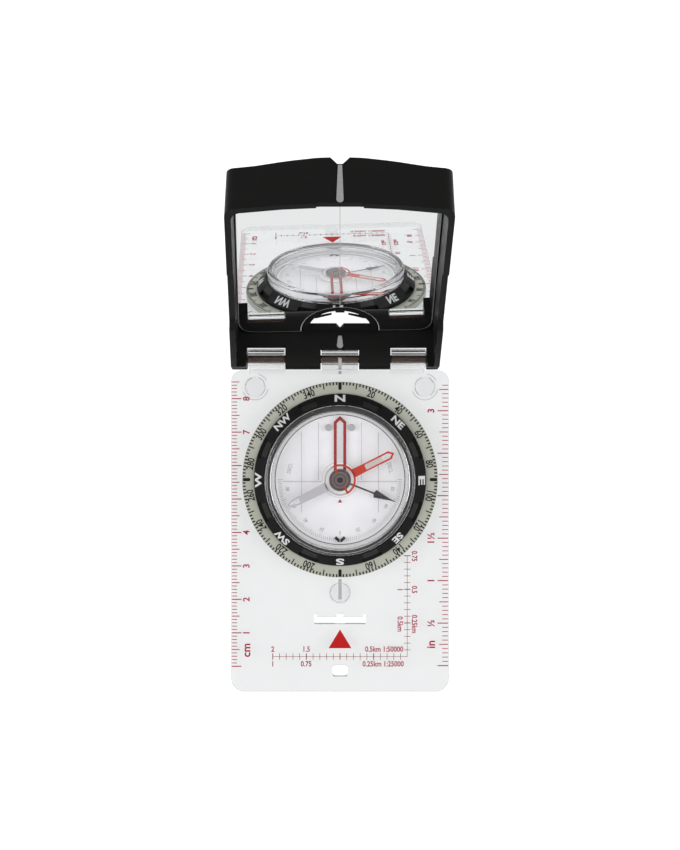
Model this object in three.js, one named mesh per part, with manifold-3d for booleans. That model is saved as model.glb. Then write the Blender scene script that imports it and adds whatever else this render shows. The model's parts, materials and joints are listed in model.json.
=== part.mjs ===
// Baseplate compass with a folding mirror lid. Millimetres, +Z up.
// Origin: on the dial's turning axis, in the plane of the base plate's underside.
// +Y points from the dial to the hinge, +X to the right. The lid stands open.

import * as THREE from 'three';
import { mergeVertices } from 'three/addons/utils/BufferGeometryUtils.js';
import Module from 'manifold-3d';

const wasm = await Module();
wasm.setup();

// Driving dimensions -----------------------------------------------------------------------

const GAP = 0.3; // clearance kept between neighbouring pieces
const DEGREE = Math.PI / 180;
const ROUND = 64; // facets round the large rings
const SMALL_ROUND = 20; // facets round pins and bores
const CORNER_STEPS = 5; // facets in a quarter-round corner

// base plate
const BASE_WIDTH = 65.2;
const BASE_LENGTH = 96.2;
const BASE_THICKNESS = 3.0;
const BASE_FRONT_Y = 32.6; // the edge at the hinge
const BASE_FRONT_CORNER = 3.2;
const BASE_REAR_CORNER = 4.0;
const SLOT = { width: 15.25, length: 3.0, y: -41.8, tooth: 1.05, toothWidth: 6.1, toothX: 3.95 };
const CORD_HOLE = { width: 4.45, length: 3.3, y: -57.4, corner: 0.7 };
const FOOT_RADIUS = 2.9;
const FOOT_HEIGHT = 1.2;
const FOOT_STANDS_PROUD = 0.3;
const FEET = { left: [-25.5, 27.65], right: [25.5, 27.65], rear: [0, -34.2] };

// hinge
const HINGE_Y = 35.7;
const HINGE_Z = 8.8;
const KNUCKLE_RADIUS = 3.1;
const PIN_RADIUS = 1.15;
const PIN_BORE_RADIUS = 1.4;
const PIN_ENDS = [-31.2, 28.4];
const BASE_KNUCKLES = [[-27.0, -16.35], [-5.4, 5.3], [15.1, 25.1]];
const LID_KNUCKLES = [[-16.05, -5.7], [5.6, 14.8]];
const HINGE_BAY = [-27.3, 25.4]; // the lid's corner knuckles run from here to its sides

// lid, in its own frame: Y from the hinge axis to the tip, Z towards the mirror side
const LID_ANGLE = 58.9 * DEGREE; // above the horizontal at rest
const LID_LENGTH = 77.8;
const LID_BACK = -9.5;
const LID_RIM = HINGE_Z - BASE_THICKNESS - GAP;
const LID_LEFT = { hinge: 31.75, tip: 28.8 }; // half widths: the left side tapers,
const LID_RIGHT = { hinge: 28.9, tip: 28.6 }; // and the right side is nearly straight
const LID_REACH = 34; // half width of the tools that cut across the whole lid
const LID_WALL = 1.6;
const LID_FLOOR = -8.2; // inner face that carries the mirror
const LID_TIP_ARCH = 2.0;
const LID_TIP_CORNER = 3.4;
const LID_HINGE_CORNER = 3.0;
const LID_BODY_START = 1.0; // lower edge of the back, clear of the base plate's webs
const RIM_SLOPE_END = 4.5;
const BAR_TOP = [4.2, -6.0]; // sloping inner face of the hinge bar, at the mirror
const BAR_FOOT = [3.55, -1.0]; // and at the knuckles
const BAR_STEP = -2.4; // the bar's height behind the base plate's outer barrels
const RELIEF = { start: 22.2, end: 49.2, slope: 2.2, level: 3.5 }; // lets the azimuth ring through
const RIM_DIP = { halfWidth: 5.85, depth: 0.4 };
const MIRROR_FRONT = -6.9;
const MIRROR_THICKNESS = 1.0;
const MIRROR_START = 4.5;
const MIRROR_CORNER = 5.0;
const MIRROR_ARCH = { radius: 11.35, centre: 5.1 };
const SIGHT_HOLE = { radius: 9.2, centre: 5.2, start: 4.9 };
const SIGHT_LIP_RADIUS = 10.95;
const SIGHT_LIP_TOP = -7.2;
const SHOULDER_DEPTH = 2.15; // how far the tip's back edge drops beside its crown
const SHOULDER_TILT = 13 * DEGREE;
const NOTCH = { halfTop: 2.5, halfBottom: 0.7, depth: 2.1 };
const UPPER_STRIPE = { start: -7.1, end: 4.9, startHalf: 0.55, endHalf: 0.9 };
const LOWER_STRIPE = { start: -2.1, end: 1.95, startHalf: 0.55, endHalf: 0.95 };
const INLAY_THICKNESS = 0.45;
const INLAY_GAP = 0.2;

// turning bezel and capsule, as radii and heights
const AZIMUTH_RING = { inner: 25.3, outer: 29.15, bottom: 3.3, top: 5.0 };
const BEZEL = { inner: 21.4, seat: 22.4, collar: 25.0, outer: 25.6, bottom: 3.3, top: 8.6 };
const CAPSULE_WALL = { inner: 20.2, outer: 21.1, floor: 1.2, top: 8.1 };
const COVER = { inner: 20.4, outer: 22.1, bottom: 8.4, ceiling: 10.8, top: 12.0 };
const RETAINER = { inner: 21.4, neck: 22.7, flange: 24.3, bottom: 0.1, step: 1.0, top: 3.0 };
const BASE_BORE_RADIUS = 23.0;
const BASE_COUNTERBORE = { radius: 24.6, depth: 1.3 };
const GRIP = { count: 8, width: 14.5 * DEGREE, inner: 24.3, bottom: 5.7 };
const DIAL_DISC = { radius: 19.9, hole: 5.3, bottom: 1.5, top: 1.8 };

// declination adjustment: a ring gear under the arrow plate, turned by the screw's pinion
const GEAR_MODULE = 0.3;
const RING_TEETH = 28;
const PINION_TEETH = 8;
const GEAR_ADDENDUM = 0.22;
const GEAR_DEDENDUM = 0.3;
const GEAR_RIM_RADIUS = 5.0;
const ARROW_PLATE = { radius: 19.5, hole: 1.3, gearBottom: 1.6, bottom: 2.4, top: 2.8 };
const LUMINOUS_DOT = { x: 3.4, y: 15.5, radius: 1.06, height: 0.25 };
const SCREW = { head: 1.3, headBottom: 0.1, headTop: 0.6, shank: 0.6, pinionTop: 2.1 };
const SCREW_BORE = { head: 1.6, depth: 0.85, shank: 0.9 };
const FILL_PLUG = { x: 0, y: 12, radius: 1.2, bore: 1.45, height: 0.7 };

// needle and clinometer
const PIVOT = { radius: 0.8, bottom: 1.5, shoulder: 4.0, tip: 5.2, tipRadius: 0.12 };
const NEEDLE_AZIMUTH = 63.4;
const NEEDLE = { bottom: 5.7, thickness: 0.3, ringInner: 3.65, ringOuter: 4.85, halfWidth: 1.4 };
const NEEDLE_NORTH_LENGTH = 17.9;
const NEEDLE_SOUTH_LENGTH = 17.3;
const MAGNET = { radius: 3.3, bore: 1.4, bottom: 4.6, ceiling: 6.1, top: 6.6 };
const JEWEL = { radius: 1.1, mouth: 0.75, bottom: 5.0, top: 5.8, cup: 5.55 };
const CLINOMETER_AZIMUTH = 111.7;
const CLINOMETER = { bottom: 3.4, thickness: 0.3, bore: 1.1, hub: 2.0, length: 17.55 };
const CLINOMETER_HEAD = { start: 11.2, halfWidth: 1.2, end: 15.9 };
const CLINOMETER_SHAFT_HALF = 0.25;

// Solids -----------------------------------------------------------------------------------

// turns a closed three.js geometry into a solid that can be cut and joined
function solidOf(geometry) {
  const bare = geometry.clone();
  bare.deleteAttribute('normal');
  bare.deleteAttribute('uv');
  const merged = mergeVertices(bare);
  const index = merged.index.array;
  const kept = [];
  for (let i = 0; i < index.length; i += 3) {
    const [a, b, c] = [index[i], index[i + 1], index[i + 2]];
    if (a !== b && b !== c && c !== a) kept.push(a, b, c);
  }
  const vertProperties = merged.attributes.position.array;
  const mesh = new wasm.Mesh({ numProp: 3, vertProperties, triVerts: new Uint32Array(kept) });
  return new wasm.Manifold(mesh);
}

function geometryOf(solid) {
  const mesh = solid.getMesh();
  const geometry = new THREE.BufferGeometry();
  geometry.setAttribute('position', new THREE.BufferAttribute(mesh.vertProperties, 3));
  geometry.setIndex(new THREE.BufferAttribute(mesh.triVerts, 1));
  geometry.computeVertexNormals();
  return geometry;
}

function cut(geometry, ...tools) {
  return geometryOf(tools.reduce((solid, tool) => solid.subtract(solidOf(tool)), solidOf(geometry)));
}

function join(geometry, ...others) {
  return geometryOf(others.reduce((solid, other) => solid.add(solidOf(other)), solidOf(geometry)));
}

function common(first, second) {
  return geometryOf(solidOf(first).intersect(solidOf(second)));
}

// a flat outline raised from z0 to z1
function raise(shape, z0, z1) {
  const options = { depth: z1 - z0, bevelEnabled: false, curveSegments: CORNER_STEPS };
  return new THREE.ExtrudeGeometry(shape, options).translate(0, 0, z0);
}

// a side outline, drawn as (y, z), swept from x0 to x1
function sweepX(shape, x0, x1) {
  const turn = new THREE.Matrix4().makeBasis(
    new THREE.Vector3(0, 1, 0),
    new THREE.Vector3(0, 0, 1),
    new THREE.Vector3(1, 0, 0),
  );
  return raise(shape, x0, x1).applyMatrix4(turn);
}

// an outline drawn as (x, z), swept back along -Y from y1 over a length
function sweepBack(shape, y1, length) {
  return raise(shape, 0, length).rotateX(Math.PI / 2).translate(0, y1, 0);
}

// a profile of [radius, z] points, listed anticlockwise, turned about Z
function revolve(points, segments = ROUND) {
  const profile = points.map(([r, z]) => new THREE.Vector2(r, z));
  const touchesAxis = points[0][0] === 0;
  if (!touchesAxis) profile.push(profile[0].clone());
  return geometryOf(solidOf(new THREE.LatheGeometry(profile, segments).rotateX(Math.PI / 2)));
}

function disc(radius, z0, z1, segments = ROUND) {
  return revolve([[0, z0], [radius, z0], [radius, z1], [0, z1]], segments);
}

function washer(inner, outer, z0, z1, segments = ROUND) {
  return revolve([[inner, z0], [outer, z0], [outer, z1], [inner, z1]], segments);
}

function rodX(radius, x0, x1) {
  return sweepX(circle(radius), x0, x1);
}

// Outlines ---------------------------------------------------------------------------------

function polygon(points) {
  return new THREE.Shape(points.map(([x, y]) => new THREE.Vector2(x, y)));
}

function circle(radius, segments = SMALL_ROUND) {
  const points = [];
  for (let i = 0; i < segments; i += 1) {
    const angle = (2 * Math.PI * i) / segments;
    points.push([radius * Math.cos(angle), radius * Math.sin(angle)]);
  }
  return polygon(points);
}

function roundedBox(x0, y0, x1, y1, lowCorner, highCorner = lowCorner) {
  const shape = new THREE.Shape();
  shape.moveTo(x0 + lowCorner, y0);
  shape.lineTo(x1 - lowCorner, y0);
  shape.absarc(x1 - lowCorner, y0 + lowCorner, lowCorner, -Math.PI / 2, 0);
  shape.lineTo(x1, y1 - highCorner);
  shape.absarc(x1 - highCorner, y1 - highCorner, highCorner, 0, Math.PI / 2);
  shape.lineTo(x0 + highCorner, y1);
  shape.absarc(x0 + highCorner, y1 - highCorner, highCorner, Math.PI / 2, Math.PI);
  shape.lineTo(x0, y0 + lowCorner);
  shape.absarc(x0 + lowCorner, y0 + lowCorner, lowCorner, Math.PI, 1.5 * Math.PI);
  return shape;
}

// straight-sided arch: a half round on two legs that reach down to y0
function arch(radius, centreY, y0) {
  const points = [[-radius, y0], [radius, y0]];
  for (let i = 0; i <= SMALL_ROUND; i += 1) {
    const angle = (Math.PI * i) / SMALL_ROUND;
    points.push([radius * Math.cos(angle), centreY + radius * Math.sin(angle)]);
  }
  return polygon(points);
}

// tapered stripe from y0 to y1 with a round far end
function stripe(y0, y1, halfStart, halfEnd) {
  const points = [[-halfStart, y0], [halfStart, y0]];
  for (let i = 0; i <= 8; i += 1) {
    const angle = (Math.PI * i) / 8;
    points.push([halfEnd * Math.cos(angle), y1 - halfEnd + halfEnd * Math.sin(angle)]);
  }
  return polygon(points);
}

// half width of one side of the lid at a distance from the hinge axis
function lidHalfWidth(side, y) {
  return side.hinge + ((side.tip - side.hinge) * y) / LID_LENGTH;
}

// the lid seen from its mirror side: tapered, with an arched tip and rounded corners
function lidOutline(startY, inset, hingeCorner) {
  const left = inset - lidHalfWidth(LID_LEFT, startY);
  const right = lidHalfWidth(LID_RIGHT, startY) - inset;
  const tipLeft = inset - LID_LEFT.tip;
  const tipRight = LID_RIGHT.tip - inset;
  const tip = LID_LENGTH - inset;
  const shoulder = tip - LID_TIP_ARCH;
  const round = LID_TIP_CORNER;
  const shape = new THREE.Shape();
  shape.moveTo(left + hingeCorner, startY);
  shape.lineTo(right - hingeCorner, startY);
  shape.quadraticCurveTo(right, startY, right, startY + hingeCorner);
  shape.lineTo(tipRight, shoulder - round);
  shape.quadraticCurveTo(tipRight, shoulder, tipRight - round, shoulder);
  shape.quadraticCurveTo(0, 2 * tip - shoulder, tipLeft + round, shoulder);
  shape.quadraticCurveTo(tipLeft, shoulder, tipLeft, shoulder - round);
  shape.lineTo(left, startY + hingeCorner);
  shape.quadraticCurveTo(left, startY, left + hingeCorner, startY);
  return shape;
}

// Base plate -------------------------------------------------------------------------------

function makeBaseplate() {
  const half = BASE_WIDTH / 2;
  const rear = BASE_FRONT_Y - BASE_LENGTH;
  const plan = roundedBox(-half, rear, half, BASE_FRONT_Y, BASE_REAR_CORNER, BASE_FRONT_CORNER);
  plan.holes.push(slotOutline());
  const halfHole = CORD_HOLE.width / 2;
  const halfLength = CORD_HOLE.length / 2;
  const lowHole = CORD_HOLE.y - halfLength;
  const highHole = CORD_HOLE.y + halfLength;
  plan.holes.push(roundedBox(-halfHole, lowHole, halfHole, highHole, CORD_HOLE.corner));
  const plate = raise(plan, 0, BASE_THICKNESS);
  const knuckles = BASE_KNUCKLES.map(([x0, x1]) => sweepX(baseKnuckleOutline(), x0, x1));
  const solid = join(plate, ...knuckles);
  return cut(
    solid,
    disc(BASE_BORE_RADIUS, -1, BASE_THICKNESS + 1),
    disc(BASE_COUNTERBORE.radius, -1, BASE_COUNTERBORE.depth),
    rodX(PIN_BORE_RADIUS, -half, half).translate(0, HINGE_Y, HINGE_Z),
    ...Object.values(FEET).map(([x, y]) => footRecess(x, y)),
    frontIndexSolid(INLAY_GAP),
    rearIndexSolid(INLAY_GAP),
  );
}

// slot for the lid's catch, with two shallow teeth on its front edge
function slotOutline() {
  const half = SLOT.width / 2;
  const rear = SLOT.y - SLOT.length / 2;
  const front = SLOT.y + SLOT.length / 2;
  const points = [[-half, rear], [half, rear], [half, front]];
  for (const side of [1, -1]) {
    const near = side * SLOT.toothX + SLOT.toothWidth / 2;
    const far = side * SLOT.toothX - SLOT.toothWidth / 2;
    points.push([near, front], [near, front - SLOT.tooth], [far, front - SLOT.tooth], [far, front]);
  }
  points.push([-half, front]);
  return polygon(points);
}

// hinge barrel on a web that rises from the plate's edge, drawn as (y, z)
function baseKnuckleOutline() {
  const shape = new THREE.Shape();
  shape.moveTo(HINGE_Y - KNUCKLE_RADIUS - 1.5, 0);
  shape.lineTo(HINGE_Y, 0);
  for (let i = 0; i <= (3 * SMALL_ROUND) / 4; i += 1) {
    const angle = (2 * Math.PI * i) / SMALL_ROUND - Math.PI / 2;
    shape.lineTo(HINGE_Y + KNUCKLE_RADIUS * Math.cos(angle), HINGE_Z + KNUCKLE_RADIUS * Math.sin(angle));
  }
  shape.lineTo(HINGE_Y - KNUCKLE_RADIUS, BASE_THICKNESS + 1.2);
  shape.lineTo(HINGE_Y - KNUCKLE_RADIUS - 1.2, BASE_THICKNESS);
  shape.lineTo(HINGE_Y - KNUCKLE_RADIUS - 1.5, BASE_THICKNESS);
  return shape;
}

function footRecess(x, y) {
  const depth = FOOT_HEIGHT - FOOT_STANDS_PROUD + INLAY_GAP;
  return disc(FOOT_RADIUS + INLAY_GAP, -1, depth, SMALL_ROUND).translate(x, y, 0);
}

function makeFoot() {
  const chamfer = 0.3;
  return revolve([
    [0, 0],
    [FOOT_RADIUS - chamfer, 0],
    [FOOT_RADIUS, chamfer],
    [FOOT_RADIUS, FOOT_HEIGHT],
    [0, FOOT_HEIGHT],
  ], SMALL_ROUND);
}

// index line over the middle knuckle: a strip bent round the barrel's upper side
function frontIndexSolid(grow) {
  const halfWidth = 0.5 + grow;
  const outer = KNUCKLE_RADIUS + (grow > 0 ? 1 : 0);
  const inner = KNUCKLE_RADIUS - INLAY_THICKNESS - grow;
  const first = 88 - grow * 20;
  const last = 172 + grow * 20;
  const steps = 8;
  const points = [];
  for (let i = 0; i <= steps; i += 1) {
    const angle = (first + ((last - first) * i) / steps) * DEGREE;
    points.push([outer * Math.cos(angle), outer * Math.sin(angle)]);
  }
  for (let i = steps; i >= 0; i -= 1) {
    const angle = (first + ((last - first) * i) / steps) * DEGREE;
    points.push([inner * Math.cos(angle), inner * Math.sin(angle)]);
  }
  return sweepX(polygon(points), -halfWidth, halfWidth).translate(0, HINGE_Y, HINGE_Z);
}

// index line behind the dial, let into the top of the plate
function rearIndexSolid(grow) {
  const halfWidth = 0.5 + grow;
  const front = -29.9 + grow;
  const rear = -35.8 - grow;
  const top = BASE_THICKNESS + (grow > 0 ? 1 : 0);
  const bottom = BASE_THICKNESS - INLAY_THICKNESS - grow;
  const outline = polygon([[-halfWidth, rear], [halfWidth, rear], [halfWidth, front], [-halfWidth, front]]);
  return raise(outline, bottom, top);
}

// Lid --------------------------------------------------------------------------------------

// the lid seen from its side, drawn as (y, z): round about the hinge axis, then straight
function lidSideOutline() {
  const shape = new THREE.Shape();
  const radius = KNUCKLE_RADIUS;
  shape.moveTo(0, -radius);
  shape.lineTo(LID_BODY_START, -radius);
  shape.lineTo(LID_BODY_START, LID_BACK + 0.8);
  shape.lineTo(LID_BODY_START + 0.8, LID_BACK);
  shape.lineTo(LID_LENGTH + 1, LID_BACK);
  shape.lineTo(LID_LENGTH + 1, LID_RIM);
  shape.lineTo(RIM_SLOPE_END, LID_RIM);
  shape.lineTo(0, radius);
  for (let i = 1; i < SMALL_ROUND / 2; i += 1) {
    const angle = Math.PI / 2 + (2 * Math.PI * i) / SMALL_ROUND;
    shape.lineTo(radius * Math.cos(angle), radius * Math.sin(angle));
  }
  return shape;
}

// the hollow that takes the dial and the mirror
function lidPocket() {
  const high = LID_RIM + 2;
  const plan = raise(lidOutline(LID_BODY_START, LID_WALL, 0.01), LID_FLOOR, high);
  const side = polygon([
    [BAR_TOP[0], LID_FLOOR],
    [LID_LENGTH, LID_FLOOR],
    [LID_LENGTH, high],
    [BAR_FOOT[0], high],
    BAR_FOOT,
    BAR_TOP,
  ]);
  return common(plan, sweepX(side, -LID_REACH, LID_REACH));
}

function lidKnuckle(x0, x1) {
  const radius = KNUCKLE_RADIUS;
  const outline = [[0, -radius], [0.8, -radius], [1.2, -4.5], [4, -4.5], [3.8, -1.2], [2.6, 1.6], [0, 0]];
  const web = polygon(outline);
  return join(rodX(radius, x0, x1), sweepX(web, x0, x1));
}

// sloping shoulders either side of the raised middle of the tip's back edge
function tipShoulders() {
  const low = LID_BACK + SHOULDER_DEPTH;
  const far = LID_REACH;
  const deep = LID_BACK - 12;
  const shape = new THREE.Shape();
  shape.moveTo(-far, deep);
  shape.lineTo(far, deep);
  shape.lineTo(far, low);
  shape.lineTo(26, low);
  shape.bezierCurveTo(18.5, low, 11, LID_BACK, 0, LID_BACK - 0.05);
  shape.bezierCurveTo(-11, LID_BACK, -18.5, low, -26, low);
  shape.lineTo(-far, low);
  return tiltedAtTip(shape);
}

function tipNotch() {
  const { halfTop, halfBottom, depth } = NOTCH;
  const flare = (halfTop - halfBottom) / depth;
  return tiltedAtTip(polygon([
    [-halfTop - flare, LID_BACK - 1],
    [halfTop + flare, LID_BACK - 1],
    [halfBottom, LID_BACK + depth],
    [-halfBottom, LID_BACK + depth],
  ]));
}

// sweeps an outline inwards from the tip so that it runs out through the lid's back
function tiltedAtTip(shape) {
  const overhang = 2;
  return sweepBack(shape, overhang, 30)
    .translate(0, 0, -LID_BACK)
    .rotateX(SHOULDER_TILT)
    .translate(0, LID_LENGTH, LID_BACK);
}

// places a flat piece on the sloping inner face of the hinge bar
function onHingeBar(geometry) {
  const rise = Math.atan2(BAR_FOOT[1] - BAR_TOP[1], BAR_FOOT[0] - BAR_TOP[0]);
  const middleY = (BAR_TOP[0] + BAR_FOOT[0]) / 2;
  const middleZ = (BAR_TOP[1] + BAR_FOOT[1]) / 2;
  return geometry.rotateX(rise - Math.PI).translate(0, middleY, middleZ);
}

function lowerStripeSolid(grow) {
  const { start, end, startHalf, endHalf } = LOWER_STRIPE;
  const outline = stripe(start - grow, end + grow, startHalf + grow, endHalf + grow);
  const top = grow > 0 ? 1 : 0;
  return onHingeBar(raise(outline, -INLAY_THICKNESS - grow, top).rotateZ(Math.PI));
}

function upperStripeSolid(grow) {
  const { start, end, startHalf, endHalf } = UPPER_STRIPE;
  const outline = stripe(start - grow, end + grow, startHalf + grow, endHalf + grow);
  const overhang = grow > 0 ? 1 : -0.05;
  return sweepBack(outline, LID_LENGTH + overhang, INLAY_THICKNESS + grow + overhang);
}

function rimRelief() {
  const { start, end, slope, level } = RELIEF;
  const high = LID_RIM + 1;
  const outline = polygon([[start + slope, level], [end - slope, level], [end, high], [start, high]]);
  return sweepX(outline, -LID_REACH, LID_REACH);
}

// shallow dip in the middle of the tip's rim
function rimDip() {
  const { halfWidth, depth } = RIM_DIP;
  const outline = roundedBox(-halfWidth, LID_LENGTH - 6, halfWidth, LID_LENGTH + 1, 0.5);
  return raise(outline, LID_RIM - depth, LID_RIM + 1);
}

// space round the base plate's barrels and webs, open on the mirror side
function hingeBay() {
  const clear = KNUCKLE_RADIUS + GAP;
  const behind = polygon([[-5, -12], [LID_BODY_START, -12], [LID_BODY_START, 0], [-5, 0]]);
  const above = polygon([[-5, BAR_FOOT[1]], BAR_FOOT, [BAR_FOOT[0], 7], [-5, 7]]);
  const step = polygon([[-5, BAR_STEP], [BAR_TOP[0] + GAP, BAR_STEP], [BAR_TOP[0] + GAP, 7], [-5, 7]]);
  return join(
    rodX(clear, ...HINGE_BAY),
    sweepX(behind, ...HINGE_BAY),
    sweepX(above, ...HINGE_BAY),
    sweepX(step, HINGE_BAY[0], LID_KNUCKLES[0][0]),
    sweepX(step, LID_KNUCKLES[1][1], HINGE_BAY[1]),
  );
}

// opening under the mirror to look through, with a small notch in its lower edge
function sightHole() {
  const { radius, centre, start } = SIGHT_HOLE;
  const hole = raise(arch(radius, centre, start), LID_BACK - 1, 0);
  const notch = polygon([[0, start - 2.1], [1.2, start + 0.2], [-1.2, start + 0.2]]);
  return join(hole, raise(notch, LID_BACK - 1, LID_BACK + 1.4));
}

function makeLidShell() {
  const block = common(
    raise(lidOutline(-KNUCKLE_RADIUS, 0, LID_HINGE_CORNER), LID_BACK, LID_RIM),
    sweepX(lidSideOutline(), -LID_REACH, LID_REACH),
  );
  const tray = cut(block, lidPocket(), hingeBay(), rimRelief(), rimDip());
  const lipOutline = arch(SIGHT_LIP_RADIUS, SIGHT_HOLE.centre, BAR_TOP[0] - 0.5);
  const lip = raise(lipOutline, LID_FLOOR - 0.5, SIGHT_LIP_TOP);
  const knuckles = LID_KNUCKLES.map(([x0, x1]) => lidKnuckle(x0, x1));
  return cut(
    join(tray, lip, ...knuckles),
    sightHole(),
    tipShoulders(),
    tipNotch(),
    rodX(PIN_BORE_RADIUS, -LID_REACH, LID_REACH),
    upperStripeSolid(INLAY_GAP),
    lowerStripeSolid(INLAY_GAP),
  );
}

function makeMirror() {
  const inset = LID_WALL + GAP;
  const back = MIRROR_FRONT - MIRROR_THICKNESS;
  const plate = raise(lidOutline(MIRROR_START, inset, MIRROR_CORNER), back, MIRROR_FRONT);
  const bay = arch(MIRROR_ARCH.radius, MIRROR_ARCH.centre, MIRROR_START - 1);
  return cut(plate, raise(bay, back - 1, MIRROR_FRONT + 1));
}

// Bezel and capsule ------------------------------------------------------------------------

function makeAzimuthRing() {
  const { inner, outer, bottom, top } = AZIMUTH_RING;
  const chamfer = 0.3;
  return revolve([
    [inner, bottom],
    [outer, bottom],
    [outer, top - chamfer],
    [outer - chamfer, top],
    [inner, top],
  ]);
}

function makeBezelRing() {
  const { inner, seat, collar, outer, bottom, top } = BEZEL;
  const ringTop = AZIMUTH_RING.top + GAP;
  const ring = revolve([
    [inner, bottom],
    [collar, bottom],
    [collar, ringTop],
    [outer, ringTop],
    [outer, ringTop + 0.7],
    [outer - 0.4, ringTop + 1.3],
    [seat + 0.5, top],
    [seat, top],
    [seat, CAPSULE_WALL.top],
    [inner, CAPSULE_WALL.top],
  ]);
  return cut(ring, ...gripNotches());
}

// finger grips: short notches round the bezel's outer edge, between the eight letters
function gripNotches() {
  const notches = [];
  for (let i = 0; i < GRIP.count; i += 1) {
    const middle = ((i + 0.5) * 2 * Math.PI) / GRIP.count;
    const points = [];
    for (let j = -3; j <= 3; j += 1) {
      const angle = middle + (j / 6) * GRIP.width;
      points.push([GRIP.inner * Math.cos(angle), GRIP.inner * Math.sin(angle)]);
    }
    for (const j of [3, -3]) {
      const angle = middle + (j / 6) * GRIP.width;
      points.push([30 * Math.cos(angle), 30 * Math.sin(angle)]);
    }
    notches.push(raise(polygon(points.reverse()), GRIP.bottom, BEZEL.top + 1));
  }
  return notches;
}

function makeCapsuleHousing() {
  const { inner, outer, floor, top } = CAPSULE_WALL;
  const cup = revolve([[0, 0], [outer, 0], [outer, top], [inner, top], [inner, floor], [0, floor]]);
  const centreDistance = gearCentreDistance();
  return cut(
    cup,
    disc(SCREW_BORE.head, -1, SCREW_BORE.depth, SMALL_ROUND).translate(0, -centreDistance, 0),
    disc(SCREW_BORE.shank, -1, 3, SMALL_ROUND).translate(0, -centreDistance, 0),
    disc(FILL_PLUG.bore, -1, FILL_PLUG.height, SMALL_ROUND).translate(FILL_PLUG.x, FILL_PLUG.y, 0),
  );
}

function makeCapsuleCover() {
  const { inner, outer, bottom, ceiling, top } = COVER;
  const bevel = 0.6;
  return revolve([
    [0, ceiling],
    [inner, ceiling],
    [inner, bottom],
    [outer, bottom],
    [outer, top - bevel],
    [outer - bevel, top],
    [0, top],
  ]);
}

function makeRetainingRing() {
  const { inner, neck, flange, bottom, step, top } = RETAINER;
  return revolve([
    [inner, bottom],
    [flange, bottom],
    [flange, step],
    [neck, step],
    [neck, top],
    [inner, top],
  ]);
}

function makePivotPost() {
  const { radius, bottom, shoulder, tip, tipRadius } = PIVOT;
  const profile = [[0, bottom], [radius, bottom], [radius, shoulder], [tipRadius, tip], [0, tip]];
  return revolve(profile, SMALL_ROUND);
}

// Declination adjustment -------------------------------------------------------------------

function gearCentreDistance() {
  return (GEAR_MODULE * (RING_TEETH - PINION_TEETH)) / 2;
}

// toothed outline whose first tooth or gap points along -Y; tooth tips sit at tipRadius
function toothedOutline(teeth, rootRadius, tipRadius, startsWithGap) {
  const pitch = (2 * Math.PI) / teeth;
  const offset = -Math.PI / 2 + (startsWithGap ? pitch / 2 : 0);
  const points = [];
  for (let i = 0; i < teeth; i += 1) {
    const middle = offset + i * pitch;
    const corners = [[-0.27, rootRadius], [-0.12, tipRadius], [0.12, tipRadius], [0.27, rootRadius]];
    for (const [share, radius] of corners) {
      const angle = middle + share * pitch;
      points.push([radius * Math.cos(angle), radius * Math.sin(angle)]);
    }
  }
  return polygon(points);
}

// clear plate that carries the orienting arrow, with an internal ring gear below it
function makeArrowPlate() {
  const { radius, hole, gearBottom, bottom, top } = ARROW_PLATE;
  const pitchRadius = (GEAR_MODULE * RING_TEETH) / 2;
  const teeth = toothedOutline(RING_TEETH, pitchRadius + GEAR_DEDENDUM, pitchRadius - GEAR_ADDENDUM, true);
  const gear = cut(disc(GEAR_RIM_RADIUS, gearBottom, bottom + 0.1, 28), raise(teeth, gearBottom - 1, bottom));
  return cut(join(disc(radius, bottom, top), gear), disc(hole, 0, top + 1, SMALL_ROUND));
}

function makeDeclinationScrew() {
  const pitchRadius = (GEAR_MODULE * PINION_TEETH) / 2;
  const { head, headBottom, headTop, shank, pinionTop } = SCREW;
  const teeth = toothedOutline(PINION_TEETH, pitchRadius - GEAR_DEDENDUM, pitchRadius + GEAR_ADDENDUM, false);
  const body = join(
    disc(head, headBottom, headTop, SMALL_ROUND),
    disc(shank, headTop - 0.1, ARROW_PLATE.gearBottom + 0.1, SMALL_ROUND),
    raise(teeth, ARROW_PLATE.gearBottom, pinionTop),
  );
  const slot = new THREE.BoxGeometry(2 * head + 1, 0.5, 0.6).translate(0, 0, headBottom);
  return cut(body, slot);
}

// Needle and clinometer --------------------------------------------------------------------

// half of the needle, pointing along +Y: half a ring round the magnet, then the blade
function needleHalf(length, tipLength) {
  const { ringInner, ringOuter, halfWidth, bottom, thickness } = NEEDLE;
  const margin = GAP / 2;
  const steps = 12;
  const points = [];
  for (let i = 0; i <= steps; i += 1) {
    const angle = (Math.PI * i) / steps;
    points.push([ringInner * Math.cos(angle), Math.max(margin, ringInner * Math.sin(angle))]);
  }
  points.reverse();
  const bladeAngle = Math.acos(halfWidth / ringOuter);
  for (let i = 0; i <= steps / 2; i += 1) {
    const angle = (bladeAngle * i) / (steps / 2);
    points.push([ringOuter * Math.cos(angle), Math.max(margin, ringOuter * Math.sin(angle))]);
  }
  points.push([halfWidth, length - tipLength], [0, length], [-halfWidth, length - tipLength]);
  for (let i = steps / 2; i >= 0; i -= 1) {
    const angle = (bladeAngle * i) / (steps / 2);
    points.push([-ringOuter * Math.cos(angle), Math.max(margin, ringOuter * Math.sin(angle))]);
  }
  return raise(polygon(points), bottom, bottom + thickness);
}

function makeMagnet() {
  const { radius, bore, bottom, ceiling, top } = MAGNET;
  const profile = [[0, ceiling], [bore, ceiling], [bore, bottom], [radius, bottom], [radius, top], [0, top]];
  return revolve(profile, SMALL_ROUND);
}

function makeJewel() {
  const { radius, mouth, bottom, top, cup } = JEWEL;
  return revolve([[0, cup], [mouth, bottom], [radius, bottom], [radius, top], [0, top]], SMALL_ROUND);
}

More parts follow.
